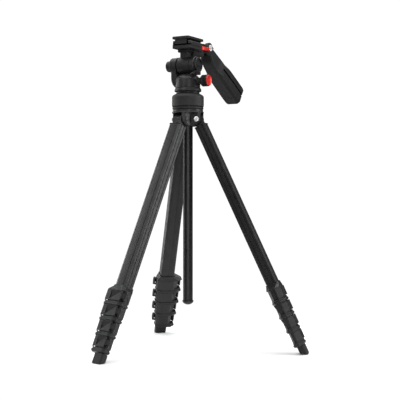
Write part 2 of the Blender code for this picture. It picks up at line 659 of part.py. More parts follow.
def tilt_parts(pan, finishes):
    """Barrel with its neck, the drag disc on its end, and the quick-release base with its jaw and lever."""
    alloy = finishes["black_aluminium"]
    plastic = finishes["black_plastic"]
    tilt = empty("tilt", pan, (0.0, 0.0, TILT_HEIGHT))
    r = BARREL_RADIUS
    barrel = [
        (0.0, ARM_OUTER + GAP), (SHAFT_RADIUS, ARM_OUTER + GAP), (SHAFT_RADIUS, BARREL_LEFT),
        (r - 0.6 * MM, BARREL_LEFT), (r, BARREL_LEFT + 0.8 * MM), (r, BARREL_RIGHT - 1.8 * MM),
        (r - 1.4 * MM, BARREL_RIGHT), (0.0, BARREL_RIGHT),
    ]
    body = smooth(put("tilt_barrel", turned(barrel), alloy, tilt, rotation=AXIS_X))
    neck_outline = [(x + NECK_X, y) for x, y in rounded_box(15.6 * MM, 16.0 * MM, 1.8 * MM)]
    top = TRAY_BOTTOM - GAP - TILT_HEIGHT
    flare = [(x + NECK_X, y) for x, y in rounded_box(23.0 * MM, 22.0 * MM, 2.2 * MM)]
    neck = loft([
        flat_loop(neck_outline, 8.0 * MM), flat_loop(neck_outline, top - 4.4 * MM),
        flat_loop(flare, top - 1.8 * MM), flat_loop(flare, top),
    ])
    combine(body, put("neck_tool", neck, alloy, tilt), "UNION")

    disc = [
        (0.0, 19.9 * MM), (14.0 * MM, 19.9 * MM), (14.0 * MM, 22.8 * MM), (13.2 * MM, 23.9 * MM),
        (11.4 * MM, 23.9 * MM), (10.6 * MM, 21.4 * MM), (0.0, 21.4 * MM),
    ]
    turn = empty("tilt_drag_turn", tilt, rotation=AXIS_X)
    drag = smooth(put("tilt_drag_disc", turned(disc), plastic, turn))
    bar = prism(rounded_box(4.6 * MM, 21.8 * MM, 1.0 * MM), 21.0 * MM, 23.6 * MM)
    combine(drag, put("finger_bar_tool", bar, plastic, turn), "UNION")

    # Quick-release base: floor, fixed dovetail lip on -X, rear lug that carries the grip.
    z0 = TRAY_BOTTOM
    z1 = TRAY_TOP
    floor = [
        (-16.6, -28.0), (18.4, -28.0), (20.0, -26.4), (20.0, 17.6), (12.7, 17.6), (12.7, 28.0), (-16.6, 28.0),
    ]
    sole = prism([(x * MM, y * MM) for x, y in floor], z0, z1)
    base = put("plate_base", sole, alloy, tilt, (0.0, 0.0, -TILT_HEIGHT))
    lip = [
        (-28.0 * MM, z1 - 1.0 * MM), (28.0 * MM, z1 - 1.0 * MM), (28.0 * MM, z1 + 9.0 * MM),
        (-26.0 * MM, z1 + 9.0 * MM),
    ]
    lip_bm = side_prism(lip, -16.6 * MM, -14.2 * MM)
    combine(base, put("lip_tool", lip_bm, alloy, tilt, (0.0, 0.0, -TILT_HEIGHT)), "UNION")
    lug = [
        (20.0 * MM, z0 + 0.6 * MM), (24.0 * MM, WEB_STEP - 1.0 * MM), (50.0 * MM, WEB_STEP - 1.0 * MM),
        (54.0 * MM, HUB_Z - 7.6 * MM),
        (HUB_Y, HUB_Z - 9.2 * MM), (HUB_Y + 6.5 * MM, HUB_Z - 6.5 * MM), (HUB_Y + 9.2 * MM, HUB_Z),
        (HUB_Y + 6.5 * MM, HUB_Z + 6.5 * MM), (HUB_Y, HUB_Z + 9.2 * MM), (HUB_Y - 7.0 * MM, HUB_Z + 7.2 * MM),
        (30.0 * MM, HUB_Z + 6.4 * MM), (28.6 * MM, z1 - 0.6 * MM), (20.0 * MM, z1 - 0.6 * MM),
    ]
    lug_tool = put("lug_tool", side_prism(lug, -5.0 * MM, 5.0 * MM), alloy, tilt, (0.0, 0.0, -TILT_HEIGHT))
    combine(base, lug_tool, "UNION")
    # Web under the floor: it runs from the neck to the lug and narrows below.
    web_rows = [(WEB_START, WEB_BOTTOM), (34.0 * MM, WEB_BOTTOM), (51.0 * MM, WEB_STEP - 2.0 * MM)]
    web_loops = []
    for y, bottom in web_rows:
        half = [(6.0 * MM, z0 + 1.0 * MM), (6.0 * MM, WEB_STEP), (2.6 * MM, bottom)]
        outline = half + [(-x, z) for x, z in reversed(half)]
        web_loops.append([Vector((x, y, z)) for x, z in outline])
    combine(base, put("web_tool", loft(web_loops), alloy, tilt, (0.0, 0.0, -TILT_HEIGHT)), "UNION")
    hole = prism(circle(3.3 * MM, SMALL_ROUND), -8.0 * MM, 8.0 * MM)
    hub_place = (0.0, HUB_Y, HUB_Z - TILT_HEIGHT)
    combine(base, put("lug_hole_tool", hole, alloy, tilt, hub_place, AXIS_X), "DIFFERENCE")

    # Clamp jaw: a bar along the +X side whose front end is cut to a facet.
    jaw_z = z1 + GAP
    low = [(14.6, -20.0), (20.0, -22.0), (20.0, 17.4), (14.6, 17.4)]
    mid = [(14.6, -25.8), (20.0, -20.4), (20.0, 17.4), (14.6, 17.4)]
    high = [(14.6, -25.8), (17.2, -21.0), (17.2, 17.4), (14.6, 17.4)]
    rows = [(low, jaw_z), (mid, jaw_z + 3.0 * MM), (mid, jaw_z + 5.6 * MM), (high, jaw_z + 8.8 * MM)]
    jaw_loops = [flat_loop([(x * MM, y * MM) for x, y in row], z) for row, z in rows]
    put("clamp_jaw", loft(jaw_loops), alloy, tilt, (0.0, 0.0, -TILT_HEIGHT))

    # Camera plate: dovetail block under a chamfered top, bored for the camera screw.
    plate = empty("plate_slide", tilt, (0.0, 0.0, -TILT_HEIGHT))
    block = rounded_box(27.4 * MM, 53.0 * MM, 1.6 * MM)
    outline = rounded_box(35.4 * MM, 59.0 * MM, 2.4 * MM)
    slim = grown(outline, -0.8 * MM)
    rows = [
        (block, 560.6 * MM), (block, PLATE_BOTTOM), (outline, PLATE_BOTTOM), (outline, PLATE_TOP - 0.8 * MM),
        (slim, PLATE_TOP),
    ]
    camera_plate = put("camera_plate", loft([flat_loop(row, z) for row, z in rows]), alloy, plate)
    hole = turned([
        (0.0, PLATE_TOP + 2.0 * MM), (SCREW_RADIUS + GAP, PLATE_TOP + 2.0 * MM),
        (SCREW_RADIUS + GAP, 567.0 * MM),
        (8.2 * MM, 567.0 * MM), (8.2 * MM, 559.0 * MM), (0.0, 559.0 * MM),
    ], 24)
    combine(camera_plate, put("screw_hole_tool", hole, alloy, plate), "DIFFERENCE")
    screw = [
        (0.0, PLATE_TOP + 4.4 * MM), (2.4 * MM, PLATE_TOP + 4.4 * MM), (SCREW_RADIUS, PLATE_TOP + 3.6 * MM),
        (SCREW_RADIUS, 566.6 * MM), (7.6 * MM, 566.6 * MM), (7.6 * MM, 561.6 * MM), (0.0, 561.6 * MM),
    ]
    smooth(put("camera_screw", turned(screw, 24), finishes["bright_steel"], plate))

    # Red quick-release lever in the notch behind the jaw; its thumb end rises and swells.
    lever = empty("plate_lever_turn", tilt, (17.0 * MM, 22.0 * MM, 557.2 * MM - TILT_HEIGHT))
    bar = [
        (-3.3, -2.0), (-1.8, -3.5), (1.8, -3.5), (3.3, -2.0), (4.4, 3.0), (4.9, 10.0), (4.2, 24.0),
        (3.0, 25.6),
        (0.2, 25.4), (-1.4, 9.0), (-3.2, 5.0),
    ]
    lever_loops = []
    for side in (-3.1, 3.1):
        rise = [max(0.0, y - 8.0) * 0.11 for _, y in bar]
        lever_loops.append([Vector((x, y, side + up)) * MM for (x, y), up in zip(bar, rise)])
    put("plate_lever", loft(lever_loops), finishes["red"], lever)
    return tilt


# Grip outline along its own axis from the hub (mm): distance, top, bottom, half width, top and bottom corner.
GRIP_STATIONS = [
    (12.0, 9.6, -9.0, 12.6, 3.0, 3.0),
    (24.0, 11.6, -16.5, 12.6, 3.2, 3.4),
    (37.0, 13.6, -19.6, 12.6, 3.4, 4.0),
    (47.0, 15.0, -20.8, 13.0, 3.6, 5.0),
    (55.0, 16.6, -21.2, 14.4, 4.0, 5.6),
    (61.0, 17.8, -21.2, 15.4, 4.4, 5.8),
    (84.0, 20.6, -20.4, 16.0, 4.6, 5.8),
    (118.0, 24.4, -17.6, 16.0, 4.6, 5.4),
    (147.0, 27.2, -15.0, 15.8, 4.4, 5.0),
    (153.0, 26.4, -12.6, 15.4, 4.4, 4.6),
]
SPINE_DEPTH = 14.0
SPINE_START = 61.0


def grip_section(along, top, bottom, half, top_corner, bottom_corner):
    upper = [(half, top - top_corner), (half - top_corner, top)]
    lower = [(half - bottom_corner, bottom), (half, bottom + bottom_corner)]
    right = lower + upper
    outline = right + [(-x, z) for x, z in reversed(right)]
    return [Vector((x, along, z)) * MM for x, z in outline]


def spine_box(along, half, top, bottom):
    corners = ((-half, bottom), (half, bottom), (half, top), (-half, top))
    return [Vector((x, along, z)) * MM for x, z in corners]


def spine_section(along, top, half, corner):
    """The spine strip's cross-section, clear of the step that it lies in."""
    floor = top - SPINE_DEPTH + GAP / MM
    right = [(half, floor), (half, top - corner), (half - corner, top)]
    outline = right + [(-x, z) for x, z in reversed(right)]
    return [Vector((x, along, z)) * MM for x, z in outline]


def grip(tilt, finishes):
    """Pan grip on its own hinge: drum forked round the lug, waisted neck, chamfered grip, spine strip."""
    rubber = finishes["rubber"]
    hinge = empty("handle_angle", tilt, (0.0, HUB_Y, HUB_Z - TILT_HEIGHT), (-GRIP_DROP, 0.0, 0.0))
    root = (4.0, 7.4, -8.0, 12.6, 2.0, 2.0)
    loops = [grip_section(*station) for station in [root] + GRIP_STATIONS]
    body = smooth(put("handle_grip", loft(loops), rubber, hinge), 24.0)
    drum = [
        (0.0, -HUB_HALF), (HUB_RADIUS - 0.8 * MM, -HUB_HALF), (HUB_RADIUS, -HUB_HALF + 0.8 * MM),
        (HUB_RADIUS, HUB_HALF - 0.8 * MM), (HUB_RADIUS - 0.8 * MM, HUB_HALF), (0.0, HUB_HALF),
    ]
    combine(body, put("drum_tool", turned(drum, 32), rubber, hinge, rotation=AXIS_X), "UNION")
    reach = 14.0 * MM
    fork = [(-reach, -reach), (10.6 * MM, -reach), (10.6 * MM, reach), (-reach, reach)]
    combine(body, put("fork_tool", side_prism(fork, -5.4 * MM, 5.4 * MM), rubber, hinge), "DIFFERENCE")
    hole = prism(circle(3.3 * MM, SMALL_ROUND), -20.0 * MM, 20.0 * MM)
    combine(body, put("hub_hole_tool", hole, rubber, hinge, rotation=AXIS_X), "DIFFERENCE")

    # The spine strip lies in a step cut along the top of the lower grip.
    rows = [row for row in GRIP_STATIONS if row[0] >= SPINE_START]
    end = rows[-1]
    step_loops = [spine_box(row[0], row[3] + 4.0, row[1] + 6.0, row[1] - SPINE_DEPTH) for row in rows]
    step_loops.append(spine_box(end[0] + 4.0, end[3] + 4.0, end[1] + 6.0, end[1] - SPINE_DEPTH))
    combine(body, put("spine_step_tool", loft(step_loops), rubber, hinge), "DIFFERENCE")
    strip_loops = []
    for along, top, _, half, corner, _ in rows:
        start = along + (GAP / MM if along == SPINE_START else 0.0)
        strip_loops.append(spine_section(start, top, half, corner))
    smooth(put("handle_spine", loft(strip_loops), rubber, hinge), 24.0)

    shaft = 3.0 * MM
    head = HUB_HALF + GAP
    bolt = [
        (0.0, -head - 1.6 * MM), (5.2 * MM, -head - 1.6 * MM), (5.6 * MM, -head), (shaft, -head),
        (shaft, head),
        (6.0 * MM, head), (6.0 * MM, head + 1.2 * MM), (5.4 * MM, head + 1.8 * MM), (0.0, head + 1.8 * MM),
    ]
    smooth(put("handle_bolt", turned(bolt, 28), finishes["bright_steel"], hinge, rotation=AXIS_X))


def build():
    clear_scene()
    finishes = {
        "black_plastic": material("black_plastic", (0.016, 0.016, 0.017), 0.5, 0.0),
        "leg_tube": material("leg_tube", (0.035, 0.036, 0.038), 0.38, 0.7),
        "black_aluminium": material("black_aluminium", (0.02, 0.02, 0.021), 0.42, 0.6),
        "rubber": material("rubber", (0.014, 0.014, 0.014), 0.7, 0.0),
        "red": material("red", (0.62, 0.03, 0.02), 0.35, 0.3),
        "bright_steel": material("bright_steel", (0.7, 0.7, 0.7), 0.25, 1.0),
    }
    root = empty("tripod", None, (COLUMN_X, COLUMN_Y, 0.0))
    crown(root, finishes["black_aluminium"])
    for side, azimuth in LEG_AZIMUTHS.items():
        leg(side, azimuth, root, finishes)
    slide = column(root, finishes)
    pan = pan_parts(slide, finishes)
    tilt = tilt_parts(pan, finishes)
    grip(tilt, finishes)


build()
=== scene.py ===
"""Looks of the travel video tripod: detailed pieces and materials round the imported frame."""
import json
import math

import bmesh
import bpy
from mathutils import Matrix, Vector


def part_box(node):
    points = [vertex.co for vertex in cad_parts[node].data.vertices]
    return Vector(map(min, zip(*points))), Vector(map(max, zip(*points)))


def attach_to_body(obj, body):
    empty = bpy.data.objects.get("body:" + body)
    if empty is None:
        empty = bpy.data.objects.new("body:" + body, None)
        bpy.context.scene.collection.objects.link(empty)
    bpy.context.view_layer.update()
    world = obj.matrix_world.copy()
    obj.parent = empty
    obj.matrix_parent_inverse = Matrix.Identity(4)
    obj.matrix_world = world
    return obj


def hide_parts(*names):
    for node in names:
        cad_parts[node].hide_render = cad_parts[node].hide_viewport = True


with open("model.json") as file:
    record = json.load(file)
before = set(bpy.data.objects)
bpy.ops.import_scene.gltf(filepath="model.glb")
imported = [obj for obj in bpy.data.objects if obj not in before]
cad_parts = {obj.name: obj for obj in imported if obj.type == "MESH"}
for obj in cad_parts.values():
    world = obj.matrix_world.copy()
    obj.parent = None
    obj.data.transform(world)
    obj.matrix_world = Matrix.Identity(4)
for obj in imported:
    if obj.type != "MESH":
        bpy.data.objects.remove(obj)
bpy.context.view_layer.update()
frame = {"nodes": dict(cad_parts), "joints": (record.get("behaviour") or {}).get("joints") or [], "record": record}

MM = 0.001
NODES = frame["nodes"]
JOINTS = {joint["name"]: joint for joint in frame["joints"]}
BODY_OF = {node: body for body, nodes in frame["record"]["behaviour"]["bodies"].items() for node in nodes}
SLOT_OF = {row["node"]: row["material_slot"] for row in frame["record"]["subparts"]}
SIDES = ("right", "back", "left")

COLUMN = Vector((*JOINTS["pan_turn"]["pos_m"][:2], 0.0))
TILT = Vector(JOINTS["tilt_swing"]["pos_m"])
HUB = Vector(JOINTS["grip_angle"]["pos_m"])

# Viewpoint: level, from the front and slightly towards the pan knob.
VIEW_AZIMUTH = math.radians(30.0)
VIEW_DISTANCE = 1.813
VIEW_HEIGHT = 0.2936
VIEW_ASIDE = -0.0165
LENS = 88.2
LENS_SHIFT = (0.0525, -0.025)

# How strongly the white surroundings light the object, and how bright they look themselves.
ROOM_LIGHT = 0.08
BACKDROP_LIGHT = 1.05
FLOOR_RADIUS = 0.45

# Distances within which points are joined, and the angle within which faces count as flat.
SAME_POINT = 0.000002
WELD = 0.00001
FLAT_ANGLE = math.radians(1.0)


# ---------------------------------------------------------------- materials

class Nodes:
    """A small helper that builds one material's node tree."""

    def __init__(self, name, roughness, metallic=0.0, specular=0.5):
        self.material = bpy.data.materials.new(name)
        self.material.use_nodes = True
        self.tree = self.material.node_tree
        self.shader = self.tree.nodes["Principled BSDF"]
        self.shader.inputs["Metallic"].default_value = metallic
        self.shader.inputs["Roughness"].default_value = roughness
        self.shader.inputs["Specular IOR Level"].default_value = specular
        self.place = self.add("ShaderNodeTexCoord").outputs["Object"]

    def add(self, kind, **settings):
        node = self.tree.nodes.new(kind)
        for key, value in settings.items():
            setattr(node, key, value)
        return node

    def link(self, output, target):
        self.tree.links.new(output, target)

    def noise(self, scale, detail=3.0, roughness=0.6, stretch=None):
        node = self.add("ShaderNodeTexNoise")
        node.inputs["Scale"].default_value = scale
        node.inputs["Detail"].default_value = detail
        node.inputs["Roughness"].default_value = roughness
        source = self.place
        if stretch:
            mapping = self.add("ShaderNodeMapping")
            mapping.inputs["Scale"].default_value = stretch
            self.link(source, mapping.inputs["Vector"])
            source = mapping.outputs["Vector"]
        self.link(source, node.inputs["Vector"])
        return node.outputs["Fac"]

    def ramp(self, value, low, high, out_low, out_high):
        node = self.add("ShaderNodeMapRange")
        node.inputs["From Min"].default_value = low
        node.inputs["From Max"].default_value = high
        node.inputs["To Min"].default_value = out_low
        node.inputs["To Max"].default_value = out_high
        self.link(value, node.inputs["Value"])
        return node.outputs["Result"]

    def colours(self, value, *stops):
        node = self.add("ShaderNodeValToRGB")
        band = node.color_ramp
        while len(band.elements) < len(stops):
            band.elements.new(0.5)
        for element, (place, colour) in zip(band.elements, stops):
            element.position = place
            element.color = (*colour, 1.0)
        self.link(value, node.inputs["Fac"])
        return node.outputs["Color"]

    def math(self, operation, a, b):
        node = self.add("ShaderNodeMath", operation=operation)
        for socket, value in zip(node.inputs, (a, b)):
            if isinstance(value, (int, float)):
                socket.default_value = value
            else:
                self.link(value, socket)
        return node.outputs["Value"]

    def bump(self, height, strength, distance, before=None):
        node = self.add("ShaderNodeBump")
        node.inputs["Strength"].default_value = strength
        node.inputs["Distance"].default_value = distance
        self.link(height, node.inputs["Height"])
        if before is not None:
            self.link(before, node.inputs["Normal"])
        return node.outputs["Normal"]

    def finish(self, colour, roughness, normal):
        self.link(colour, self.shader.inputs["Base Color"])
        self.link(roughness, self.shader.inputs["Roughness"])
        self.link(normal, self.shader.inputs["Normal"])
        return self.material


def grey(value):
    return (value, value, value * 1.03)


def moulded_plastic(name, tone=0.0065, rough=0.42, grain=0.35):
    """Moulded nylon: fine spark-eroded grain, faint cloudy tone and gloss changes, light rub marks."""
    m = Nodes(name, rough, specular=0.32)
    cloud = m.noise(38.0, 4.0)
    rubbed = m.noise(210.0, 5.0, 0.7)
    colour = m.colours(cloud, (0.30, grey(tone * 0.78)), (0.72, grey(tone * 1.25)))
    gloss = m.ramp(rubbed, 0.3, 0.75, rough - 0.07, rough + 0.10)
    fine = m.bump(m.noise(2600.0, 2.0), grain, 0.00012)
    return m.finish(colour, gloss, m.bump(rubbed, 0.10, 0.0004, fine))


def anodised(name, tone, rough, metallic, drawn=None):
    """Black anodised aluminium; drawn gives the fine lines of an extrusion along one axis."""
    m = Nodes(name, rough, metallic, 0.28)
    cloud = m.noise(60.0, 4.0)
    colour = m.colours(cloud, (0.3, grey(tone * 0.85)), (0.7, grey(tone * 1.15)))
    speck = m.noise(3800.0, 2.0)
    gloss = m.ramp(m.noise(160.0, 4.0, 0.65), 0.3, 0.7, rough - 0.05, rough + 0.07)
    normal = m.bump(speck, 0.22, 0.00006)
    if drawn:
        normal = m.bump(m.noise(1.0, 3.0, 0.6, drawn), 0.16, 0.00010, normal)
    return m.finish(colour, gloss, normal)


def soft_rubber(name, tone=0.0055, rough=0.54):
    """Soft-touch rubber: matte, slightly dusty, with a pebbled grain."""
    m = Nodes(name, rough, specular=0.3)
    dust = m.noise(55.0, 5.0, 0.7)
    colour = m.colours(dust, (0.35, grey(tone * 0.85)), (0.8, grey(tone * 1.35)))
    gloss = m.ramp(dust, 0.3, 0.8, rough - 0.06, rough + 0.12)
    pebble = m.add("ShaderNodeTexVoronoi")
    pebble.inputs["Scale"].default_value = 1500.0
    m.link(m.place, pebble.inputs["Vector"])
    return m.finish(colour, gloss, m.bump(pebble.outputs["Distance"], 0.30, 0.00012))


def seam_shadow(name):
    """Painted shade for seams, grooves and gaps: a black surface without gloss, put on faces where shade falls."""
    m = Nodes(name, 0.9, specular=0.05)
    colour = m.colours(m.noise(120.0, 3.0), (0.3, grey(0.0008)), (0.7, grey(0.0018)))
    gloss = m.ramp(m.noise(300.0, 2.0), 0.3, 0.7, 0.85, 0.95)
    return m.finish(colour, gloss, m.bump(m.noise(2000.0, 2.0), 0.2, 0.0001))


def red_anodised(name):
    m = Nodes(name, 0.34, 0.35)
    tint = m.noise(90.0, 3.0)
    colour = m.colours(tint, (0.3, (0.62, 0.022, 0.016)), (0.75, (0.78, 0.040, 0.028)))
    gloss = m.ramp(m.noise(700.0, 3.0), 0.3, 0.7, 0.28, 0.42)
    return m.finish(colour, gloss, m.bump(m.noise(2400.0, 2.0), 0.2, 0.00006))


def bright_steel(name):
    """Turned steel: faint rings and small scratches."""
    m = Nodes(name, 0.3, 0.6)
    scratch = m.noise(420.0, 6.0, 0.8)
    colour = m.colours(scratch, (0.3, (0.74, 0.74, 0.74)), (0.7, (0.92, 0.92, 0.91)))
    gloss = m.ramp(scratch, 0.3, 0.7, 0.24, 0.40)
    return m.finish(colour, gloss, m.bump(m.noise(1500.0, 3.0), 0.2, 0.00008))


MATERIALS = {
    "black_plastic": moulded_plastic("moulded_black_plastic"),
    "leg_tube": anodised("satin_tube_anodising", 0.020, 0.34, 0.40, (900.0, 900.0, 12.0)),
    "black_aluminium": anodised("blasted_black_anodising", 0.026, 0.40, 0.35),
    "rubber": soft_rubber("soft_black_rubber"),
    "collar_rubber": soft_rubber("collar_rubber", 0.015, 0.55),
    # Lever pockets: matte plastic, painted darker as shade on the pocket facets.
    "lever_pocket_shade": moulded_plastic("painted_pocket_shade", 0.0022, 0.70, 0.6),
    # Black painted shade, put on faces in seams and gaps.
    "seam": seam_shadow("seam_shadow"),
    "red": red_anodised("red_anodising"),
    "bright_steel": bright_steel("bright_turned_steel"),
}


# ---------------------------------------------------------------- carried-over nodes

def dressed(name):
    """Give a CAD node that keeps its own mesh its finished material."""
    node = NODES[name]
    finish = MATERIALS[SLOT_OF[name]]
    if node.material_slots:
        for slot in node.material_slots:
            slot.material = finish
    else:
        node.data.materials.append(finish)


def refined(name, width=0.5, segments=3, slot=None):
    """Replace a CAD node by the same solid with welded flats, rolled edges and clean shading."""
    bm = welded(name)
    mesh = bpy.data.meshes.new(f"{name}_shape")
    bm.to_mesh(mesh)
    bm.free()
    mesh.shade_smooth()
    mesh.materials.append(MATERIALS[slot or SLOT_OF[name]])
    piece = shown_as(f"{name}_skin", mesh)
    rolled(piece, width, segments)
    settle(piece, name)
    return piece


def welded(name):
    """A CAD node's mesh with its flat stretches joined into single faces."""
    bm = bmesh.new()
    bm.from_mesh(NODES[name].data)
    bmesh.ops.remove_doubles(bm, verts=bm.verts, dist=WELD)
    bmesh.ops.dissolve_limit(bm, angle_limit=FLAT_ANGLE, verts=bm.verts, edges=bm.edges)
    return bm


def shown_as(name, data):
    """Put new data into the scene as an object."""
    thing = bpy.data.objects.new(name, data)
    bpy.context.scene.collection.objects.link(thing)
    return thing


def rolled(piece, width, segments=3, angle=28.0):
    """Round the edges that turn by more than the angle, and shade the flats evenly."""
    roll = piece.modifiers.new("rolled_edges", "BEVEL")
    roll.width = width * MM
    roll.segments = segments
    roll.limit_method = "ANGLE"
    roll.angle_limit = math.radians(angle)
    weighted = piece.modifiers.new("even_shading", "WEIGHTED_NORMAL")
    weighted.keep_sharp = False


def groove(mesh, start, end, depth):
    """Sink a band of the tilt barrel, which lies along X round the tilt axis, and paint the sunk faces black as
    shade, to leave a dark seam line.
    """
    bm = bmesh.new()
    bm.from_mesh(mesh)
    edge = 0.12 * MM
    # Only the barrel's outer surface sinks, not what lies nearer to its axis.
    inner_radius = 14.0 * MM
    for x in (start, start + edge, end - edge, end):
        bmesh.ops.bisect_plane(
            bm, geom=list(bm.verts) + list(bm.edges) + list(bm.faces), plane_co=(TILT.x + x, 0.0, 0.0),
            plane_no=(1.0, 0.0, 0.0), dist=SAME_POINT / 2.0,
        )
    for v in bm.verts:
        arm = Vector((0.0, v.co.y - TILT.y, v.co.z - TILT.z))
        inside = start + 0.5 * edge < v.co.x - TILT.x < end - 0.5 * edge
        if inside and arm.length > inner_radius:
            v.co -= arm.normalized() * depth
            # The sunk faces take material 1, the black painted shade.
            for face in v.link_faces:
                face.material_index = 1
    bm.to_mesh(mesh)
    bm.free()


def darken(piece, chosen):
    """Paint the chosen faces with the black painted-shade surface, as the shade in a seam or gap."""
    piece.data.materials.append(MATERIALS["seam"])
    last = len(piece.data.materials) - 1
    for face in piece.data.polygons:
        if chosen(face):
            face.material_index = last


def settle(piece, name):
    """The piece stands for a CAD node: it rides on its body, and the node is hidden."""
    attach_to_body(piece, BODY_OF[name])
    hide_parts(name)


def attach(piece, node):
    """An added piece rides on the body of the CAD node that carries it."""
    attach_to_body(piece, BODY_OF[node])


# ---------------------------------------------------------------- leg pieces

TURN_TO_X = Matrix.Rotation(math.radians(90.0), 4, "Y")
TURN_TO_SIDE = Matrix.Rotation(math.radians(90.0), 4, "X")

LOCK_COUNT = 4
TUBE_WALL = 1.2 * MM
LEVER_MARGIN = 1.8 * MM
LEVER_HINGE_SHARE = 0.28
POCKET_DEPTH = 1.9 * MM


def leg_frame(side):
    """Matrix of one leg: origin at its pivot, X outwards, Y round the column, Z up along the leg."""
    joint = JOINTS[f"{side}_leg_spread"]
    across = Vector(joint["axis"]).normalized()
    up = -Vector(JOINTS[f"{side}_slide_2"]["axis"]).normalized()
    out = across.cross(up)
    turn = Matrix((out, across, up)).transposed().to_4x4()
    return Matrix.Translation(Vector(joint["pos_m"])) @ turn


def local_box(name, matrix):
    """Lowest and highest corner of a CAD node in another frame."""
    back = matrix.inverted()
    points = [back @ v.co for v in NODES[name].data.vertices]
    low = Vector(min(p[i] for p in points) for i in range(3))
    high = Vector(max(p[i] for p in points) for i in range(3))
    return low, high


def solid(name, bm, finish, matrix):
    """Turn a built mesh into a smooth-shaded piece with its faces outwards."""
    bmesh.ops.remove_doubles(bm, verts=bm.verts, dist=SAME_POINT)
    bmesh.ops.recalc_face_normals(bm, faces=bm.faces)
    if bm.calc_volume(signed=True) < 0.0:
        bmesh.ops.reverse_faces(bm, faces=bm.faces)
    mesh = bpy.data.meshes.new(name)
    bm.to_mesh(mesh)
    bm.free()
    mesh.shade_smooth()
    mesh.materials.append(finish)
    piece = shown_as(name, mesh)
    piece.matrix_world = matrix
    return piece


def skin(loops, ring=False):
    """Join equal-length closed loops; a ring joins the last to the first, else both ends are capped."""
    bm = bmesh.new()
    rows = [[bm.verts.new(point) for point in loop] for loop in loops]
    pairs = list(zip(rows, rows[1:]))
    if ring:
        pairs.append((rows[-1], rows[0]))
    else:
        bm.faces.new(rows[0])
        bm.faces.new(rows[-1])
    count = len(rows[0])
    for low, high in pairs:
        for i in range(count):
            j = (i + 1) % count
            bm.faces.new((low[i], low[j], high[j], high[i]))
    return bm


def level(outline, z):
    return [Vector((x, y, z)) for x, y in outline]


def tube_outline(d, w):
    """Outer tube: crowned face between two beads, bevelled corners, two side grooves, rounded back."""
    bevel = 0.34 * w
    face = w - bevel
    shoulder = d - 0.55 * bevel
    back = -0.72 * d
    bead = 0.9 * MM
    notch = 0.7 * MM
    half = [
        (d, 0.0), (d - 0.05 * MM, 0.5 * face), (d - 0.15 * MM, face - 1.6 * bead),
        (d - 0.15 * MM - notch, face - 1.1 * bead), (d - 0.2 * MM, face - 0.6 * bead),
        (d - 0.3 * MM, face), (shoulder, w),
    ]
    for place in (0.24, 0.72):
        x = shoulder + (back - shoulder) * place
        half += [(x + 0.8 * MM, w), (x, w - notch), (x - 0.8 * MM, w)]
    half += [(back, w), (-0.9 * d, 0.92 * w), (-d, 0.74 * w), (-d, 0.25 * w), (-d + notch, 0.0)]
    mirrored = [(x, -y) for x, y in reversed(half[1:-1])]
    return half + mirrored


def outer_tube(side, matrix):
    name = f"{side}_tube_1"
    low, high = local_box(name, matrix)
    outline = tube_outline(high.x, high.y)
    inside = [(x * (1.0 - TUBE_WALL / high.x), y * (1.0 - TUBE_WALL / high.y)) for x, y in outline]
    loops = [level(outline, low.z), level(outline, high.z), level(inside, high.z), level(inside, low.z)]
    piece = solid(f"{name}_skin", skin(loops, ring=True), MATERIALS["leg_tube"], matrix)
    rolled(piece, 0.28, 2, 14.0)
    settle(piece, name)


def lever_plate(side, index, matrix):
    """Flip lever: the CAD lever's outline with a three-sided pocket in its outer face, its facets painted darker
    as shade.
    """
    name = f"{side}_lever_{index}"
    bm = welded(name)
    bm.transform(matrix.inverted())
    bm.normal_update()
    front = max(bm.faces, key=lambda f: (f.normal.x > 0.98) * f.calc_area())
    rows = sorted(front.verts, key=lambda v: v.co.y)
    if len(rows) == 6:
        # The low strip beside the hinge lies in the same plane: only the tall part takes the pocket.
        strip, _ = bmesh.utils.face_split(front, rows[2], rows[3])
        front = max((front, strip), key=lambda f: f.calc_area())
    xs = [v.co.x for v in front.verts]
    ys = [v.co.y for v in front.verts]
    zs = [v.co.z for v in front.verts]
    x = max(xs)
    left = min(ys) + LEVER_HINGE_SHARE * (max(ys) - min(ys))
    right = max(ys) - 2.2 * MM
    bottom, top = min(zs) + LEVER_MARGIN, max(zs) - LEVER_MARGIN
    middle_y, middle_z = (left + right) / 2.0, (top + bottom) / 2.0

    def around(v):
        return math.atan2(v.co.z - middle_z, v.co.y - middle_y)

    # Three-sided pocket: its facets rise to the face's edges from the deepest point, low beside the hinge.
    edge_bl, edge_br, edge_tr, edge_tl = sorted(front.verts, key=around)
    bm.faces.remove(front)
    tl = bm.verts.new((x, left, top))
    tr = bm.verts.new((x, right, top))
    bl = bm.verts.new((x, left, bottom))
    apex = bm.verts.new((x - POCKET_DEPTH, left + 1.0 * MM, bottom + 1.8 * MM))
    for ring in (
        (edge_tl, edge_tr, tr, tl), (edge_tr, edge_br, tr), (edge_br, bl, tr), (edge_br, edge_bl, bl),
        (edge_bl, edge_tl, tl, bl), (tl, tr, apex), (tr, bl, apex), (bl, tl, apex),
    ):
        face = bm.faces.new(ring)
        # Facets that meet the apex take material 1, painted darker as shade.
        face.material_index = int(apex in ring)
    piece = solid(f"{name}_skin", bm, MATERIALS["black_plastic"], matrix)
    piece.data.materials.append(MATERIALS["lever_pocket_shade"])
    rolled(piece, 0.35, 3, 24.0)
    settle(piece, name)


def clamp_screw(side, index, matrix):
    """Socket screw that sets the clamp's grip, low on the housing's open side."""
    node = f"{side}_lock_1" if index == 1 else f"{side}_section_{index}"
    lever_low, _ = local_box(f"{side}_lever_{index}", matrix)
    low, high = local_box(node, matrix)
    place = Matrix.Translation((-0.42 * high.x, low.y + 1.2 * MM, lever_low.z - 3.2 * MM)) @ TURN_TO_SIDE
    profile = [
        (0.0, -0.3), (1.1, -0.3), (1.2, 0.35), (1.9, 0.45), (2.3, 0.25), (2.4, -0.8), (0.0, -0.8),
    ]
    finish = MATERIALS["black_aluminium"]
    piece = turned(f"{side}_clamp_screw_{index}", profile, 32, finish, matrix @ place)
    attach(piece, node)


